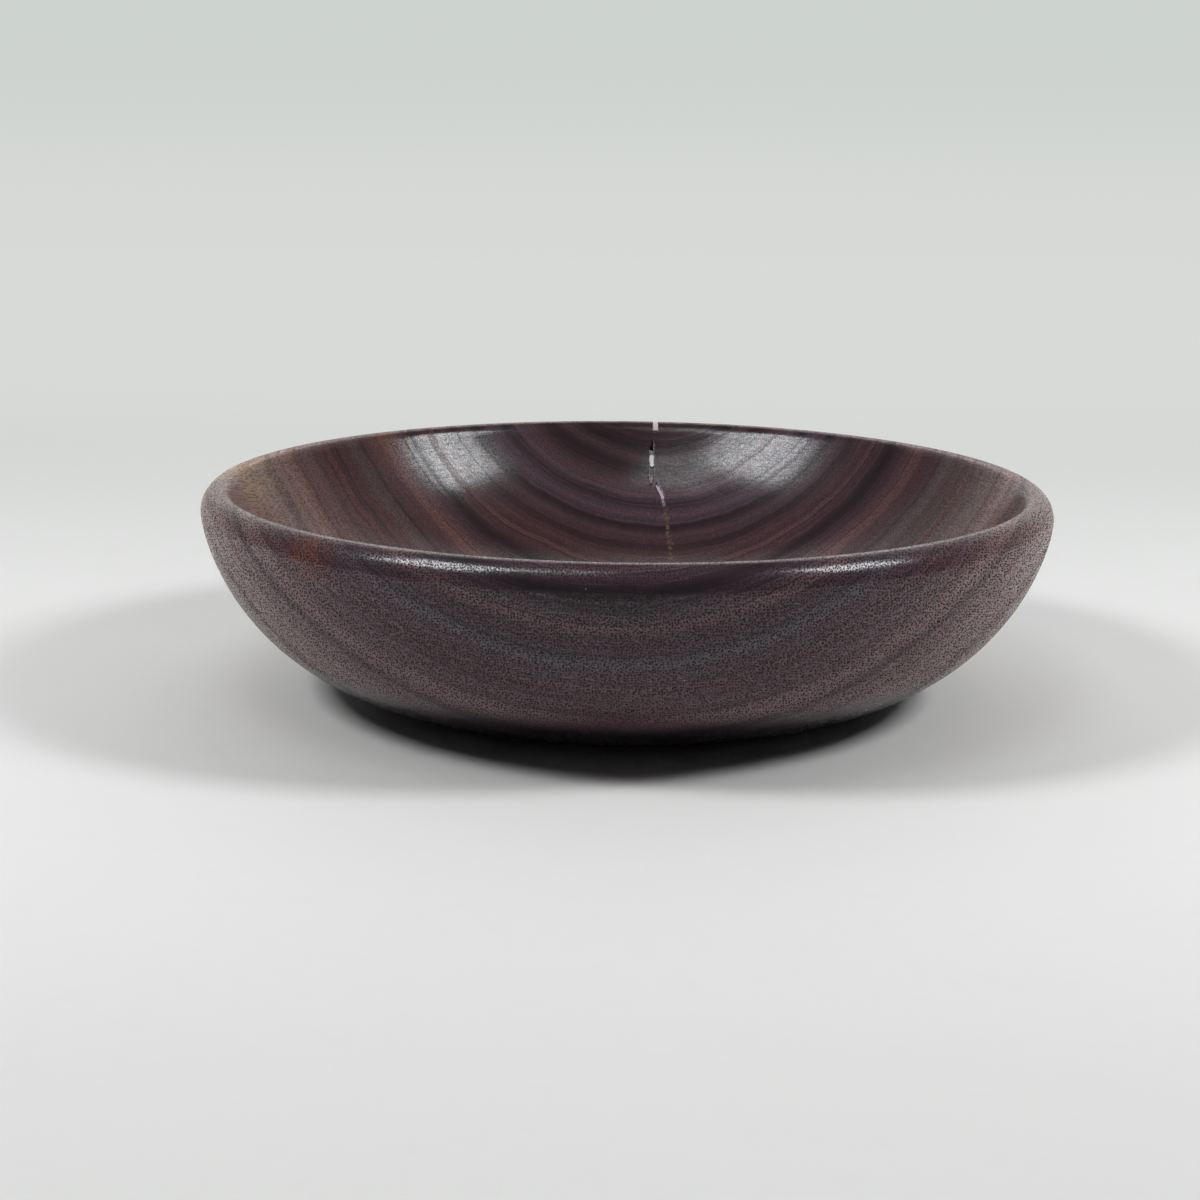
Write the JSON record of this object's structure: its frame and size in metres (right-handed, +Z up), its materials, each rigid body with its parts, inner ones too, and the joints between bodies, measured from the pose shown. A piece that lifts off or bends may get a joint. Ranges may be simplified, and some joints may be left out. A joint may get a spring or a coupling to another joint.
{
  "type": "wooden candy dish",
  "caption": "Shallow round wooden dish turned from one blank, with a softly rounded rim, curved walls, a flat base to stand on and a drying crack with pale filler on one inner wall.",
  "frame": {"origin": "middle of the flat ring that the dish stands on, in the plane of the table", "axes": "+Z up along the axis that the dish was turned about; +Y from the middle towards the wall with the crack"},
  "size_m": [0.18, 0.18, 0.0445],
  "materials": {
    "wood": "polished dark open-grained wood, satin",
    "filler": "matte pale filler"
  },
  "bodies": {
    "root": {"bowl": "wood", "crack_fill_rim": "filler", "crack_fill_upper": "filler", "crack_fill_middle": "filler", "crack_fill_lower": "filler"}
  },
  "joints": []
}
